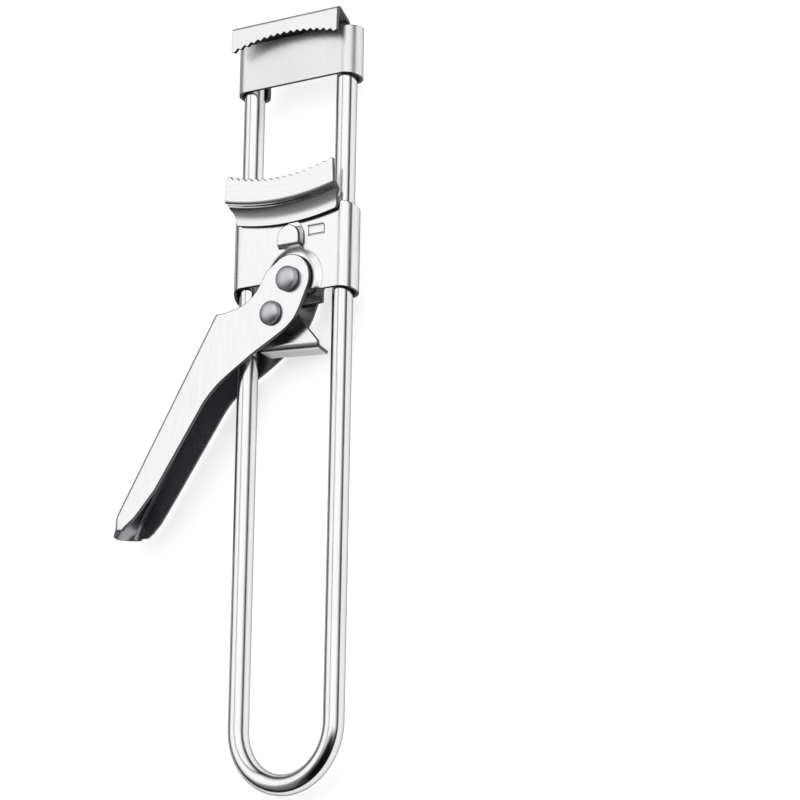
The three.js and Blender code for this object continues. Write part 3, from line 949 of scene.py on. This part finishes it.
def steel(name, colour, polish, grain, worn):
    """Polished stainless: drawn grain along an axis, faint waviness, cloudy polish and fine handling marks.

    polish is (smoothest, roughest), grain the stretch of the drawn lines along x, y and z, worn their depth.
    """
    material = bpy.data.materials.new(name)
    material.use_nodes = True
    n = Nodes(material.node_tree)
    where = n.add("ShaderNodeTexCoord").outputs["Object"]
    stretched = n.add("ShaderNodeMapping", {"Vector": where, "Scale": grain}).outputs["Vector"]
    lines = n.noise(stretched, 2600.0, 4.0, 0.6)
    clouds = n.noise(where, 90.0, 3.0, 0.55)
    waves = n.noise(where, 120.0, 1.0, 0.4)
    pits = n.noise(where, 1800.0, 2.0)

    tone = n.ramp(clouds, [(0.3, tuple(c * 0.955 for c in colour)), (0.7, colour)])
    streak = n.ramp(lines, [(0.32, 0.93), (0.62, 1.0)])
    cloudy = n.spread(clouds, (0.3, 0.7), polish)
    rubbed = n.spread(lines, (0.35, 0.75), (0.0, 0.07))
    rough = n.add("ShaderNodeMath", {0: cloudy, 1: rubbed}, operation="ADD")

    wavy = n.bump(waves, 0.35, WAVE_DEPTH)
    drawn = n.bump(lines, worn, SCRATCH_DEPTH, wavy)
    pitted = n.bump(pits, worn * 0.5, SCRATCH_DEPTH, drawn)
    shader = n.add(
        "ShaderNodeBsdfPrincipled",
        {
            "Base Color": n.multiply(tone, streak),
            "Metallic": 1.0,
            "Roughness": rough.outputs[0],
            "Specular Tint": (0.15, 0.15, 0.16, 1),
            "Normal": pitted,
        },
    )
    output = n.add("ShaderNodeOutputMaterial")
    n.tree.links.new(shader.outputs[0], output.inputs["Surface"])
    return material


def floor_material():
    """Matt white board, lit a little from below."""
    material = bpy.data.materials.new("pale_floor")
    material.use_nodes = True
    n = Nodes(material.node_tree)
    where = n.add("ShaderNodeTexCoord").outputs["Object"]
    colour = n.ramp(n.noise(where, 4.0, 2.0), [(0.3, 0.86), (0.7, 0.88)])
    glow = {"Emission Color": (1, 1, 1, 1), "Emission Strength": 0.6}
    shader = n.add("ShaderNodeBsdfPrincipled", {"Base Color": colour, "Roughness": 0.85, **glow})
    output = n.add("ShaderNodeOutputMaterial")
    n.tree.links.new(shader.outputs[0], output.inputs["Surface"])
    return material


# ---------- studio ----------


def add_floor():
    mesh = bpy.data.meshes.new("studio_floor")
    z = CAD_BOUNDS[0].z - FLOOR_GAP
    corners = [(x * FLOOR_HALF, y * FLOOR_HALF, z) for x, y in ((-1, -1), (1, -1), (1, 1), (-1, 1))]
    mesh.from_pydata(corners, [], [(0, 1, 2, 3)])
    floor = bpy.data.objects.new("studio_floor", mesh)
    mesh.materials.append(floor_material())
    bpy.context.scene.collection.objects.link(floor)


def add_world():
    """A white studio tent, dark round the horizon and towards -Y, with a seam and creased cloth."""
    world = bpy.data.worlds.new("studio")
    bpy.context.scene.world = world
    world.use_nodes = True
    n = Nodes(world.node_tree)
    direction = n.add("ShaderNodeTexCoord").outputs["Generated"]
    axes = n.add("ShaderNodeSeparateXYZ", {"Vector": direction}).outputs
    tent = n.ramp(axes["Z"], [(0.0, 0.10), (0.14, 0.04), (0.30, 0.12), (0.44, 0.55), (0.60, 1.0)])
    sideways = n.spread(axes["Y"], (-1.0, 1.0), (0.0, 1.0))
    near_side = n.ramp(sideways, [(0.20, 0.16), (0.38, 0.24), (0.50, 1.0)])
    towards = n.add("ShaderNodeVectorMath", {0: direction, 1: (0.38, -0.62, 0.69)}, operation="DOT_PRODUCT")
    opening = n.ramp(towards.outputs["Value"], [(0.78, 1.0), (0.90, 0.02)])
    across = n.spread(axes["X"], (-1.0, 1.0), (0.0, 1.0))
    seam = n.ramp(across, [(0.33, 1.0), (0.385, 0.32), (0.41, 0.32), (0.46, 1.0)])
    cloth = n.ramp(n.noise(direction, 7.0, 2.0), [(0.35, 0.80), (0.60, 1.0)])
    light = tent
    for layer in (near_side, opening, seam, cloth):
        light = n.multiply(light, layer)
    background = n.add("ShaderNodeBackground", {"Color": light, "Strength": 1.35})
    output = n.add("ShaderNodeOutputWorld")
    n.tree.links.new(background.outputs[0], output.inputs["Surface"])


def add_camera():
    data = bpy.data.cameras.new("camera")
    data.sensor_width = 36
    data.lens = CAMERA_LENS
    camera = bpy.data.objects.new("camera", data)
    at, aim = Vector(place_in_frame(CAMERA_AT)), Vector(place_in_frame(CAMERA_AIM))
    back = (at - aim).normalized()
    right = Vector(CAMERA_UP).cross(back).normalized()
    up = back.cross(right)
    turn = Matrix((right, up, back)).transposed().to_4x4()
    camera.matrix_world = Matrix.Translation(at) @ turn
    bpy.context.scene.collection.objects.link(camera)
    bpy.context.scene.camera = camera


# ---------- assembly ----------

BRIGHT, JAW_TONE, BRAKE_TONE = (0.80, 0.80, 0.81), (0.78, 0.78, 0.79), (0.77, 0.77, 0.78)
POLISHED = (0.14, 0.22)
ALONG_BARS, ACROSS_BARS = (1, 0.06, 1), (0.06, 1, 1)

# Name, shape, body, node, record slot
SHEETS_AND_WIRE = [
    ("bent_wire_loop", wire_loop, "frame", "loop_rod", "wire"),
    ("rolled_head_sheet", head_clip, "frame", "head_clip", "clip_sheet"),
    ("toothed_upper_jaw", upper_jaw, "frame", "upper_jaw", "jaw_sheet"),
    ("pressed_sleeve", carriage_sleeve, "carriage", "carriage_sleeve", "sleeve_sheet"),
    ("toothed_lower_jaw", lower_jaw, "carriage", "lower_jaw", "jaw_sheet"),
    ("channel_lever", lever, "lever", "lever", "lever_sheet"),
    ("brake_sheet_plate", brake_plate, "brake", "brake_plate", "brake_sheet"),
]

# Colour, polish, grain and wear of each
FINISHES = {
    "bent_wire_loop": (BRIGHT, (0.10, 0.16), (1, 0.03, 1), 0.5),
    "rolled_head_sheet": (BRIGHT, (0.28, 0.36), ALONG_BARS, 0.6),
    "toothed_upper_jaw": (JAW_TONE, (0.18, 0.28), ACROSS_BARS, 0.7),
    "pressed_sleeve": (BRIGHT, POLISHED, ALONG_BARS, 0.6),
    "toothed_lower_jaw": (JAW_TONE, POLISHED, ACROSS_BARS, 0.7),
    "channel_lever": (BRIGHT, POLISHED, (0.3, 0.06, 1), 0.6),
    "brake_sheet_plate": (BRAKE_TONE, POLISHED, ACROSS_BARS, 0.7),
}


def link_spacer():
    """Profile of the link rivet's spacer, between the lever's front wall and the brake plate."""
    shoulder_r = LINK_SHANK_R + SPACER_WIDTH
    high = LEVER_Z1 - LEVER_T - HOLE_GAP
    low = BRAKE_Z + BRAKE_T / 2 + HOLE_GAP
    return [(LINK_SHANK_R, high), (shoulder_r, high), (shoulder_r, low), (LINK_SHANK_R, low)]


def build():
    # Rim material: its near-black base colour is painted shade for the dark outlines along the rims, while
    # its rougher cut-edge finish is real.
    painted_shade_cut_edge = steel("painted_shade_cut_edge_steel", (0.16, 0.16, 0.165), (0.30, 0.42), (1, 1, 0.1), 1.0)
    # Lever's inside faces: their dark grey base colour is painted shade for the channel's hollow, while their
    # rougher, unpolished finish is real.
    inner = steel("painted_shade_rough_inner_steel", (0.36, 0.36, 0.38), (0.24, 0.34), (0.3, 0.06, 1), 1.0)
    for name, shape, body, node, slot in SHEETS_AND_WIRE:
        material = steel(name + "_steel", *FINISHES[name])
        back = inner if shape is lever else None
        add_piece(name, shape(), body, node, material, painted_shade_cut_edge, back)
    rivet_steel = steel("rivet_steel", (0.70, 0.69, 0.73), (0.38, 0.46), (1, 1, 1), 1.0)
    pivot = rivet(LEVER_PIVOT, LEVER_SHANK_R, *LEVER_HEAD, [])
    add_piece("lever_pivot_rivet", pivot, "carriage", "pivot_rivet", rivet_steel)
    link = rivet(LINK_PIVOT, LINK_SHANK_R, *LINK_HEAD, link_spacer())
    add_piece("brake_link_rivet", link, "lever", "link_rivet", rivet_steel)


add_camera()
add_world()
add_floor()
build()
bpy.context.scene.view_settings.view_transform = "Standard"
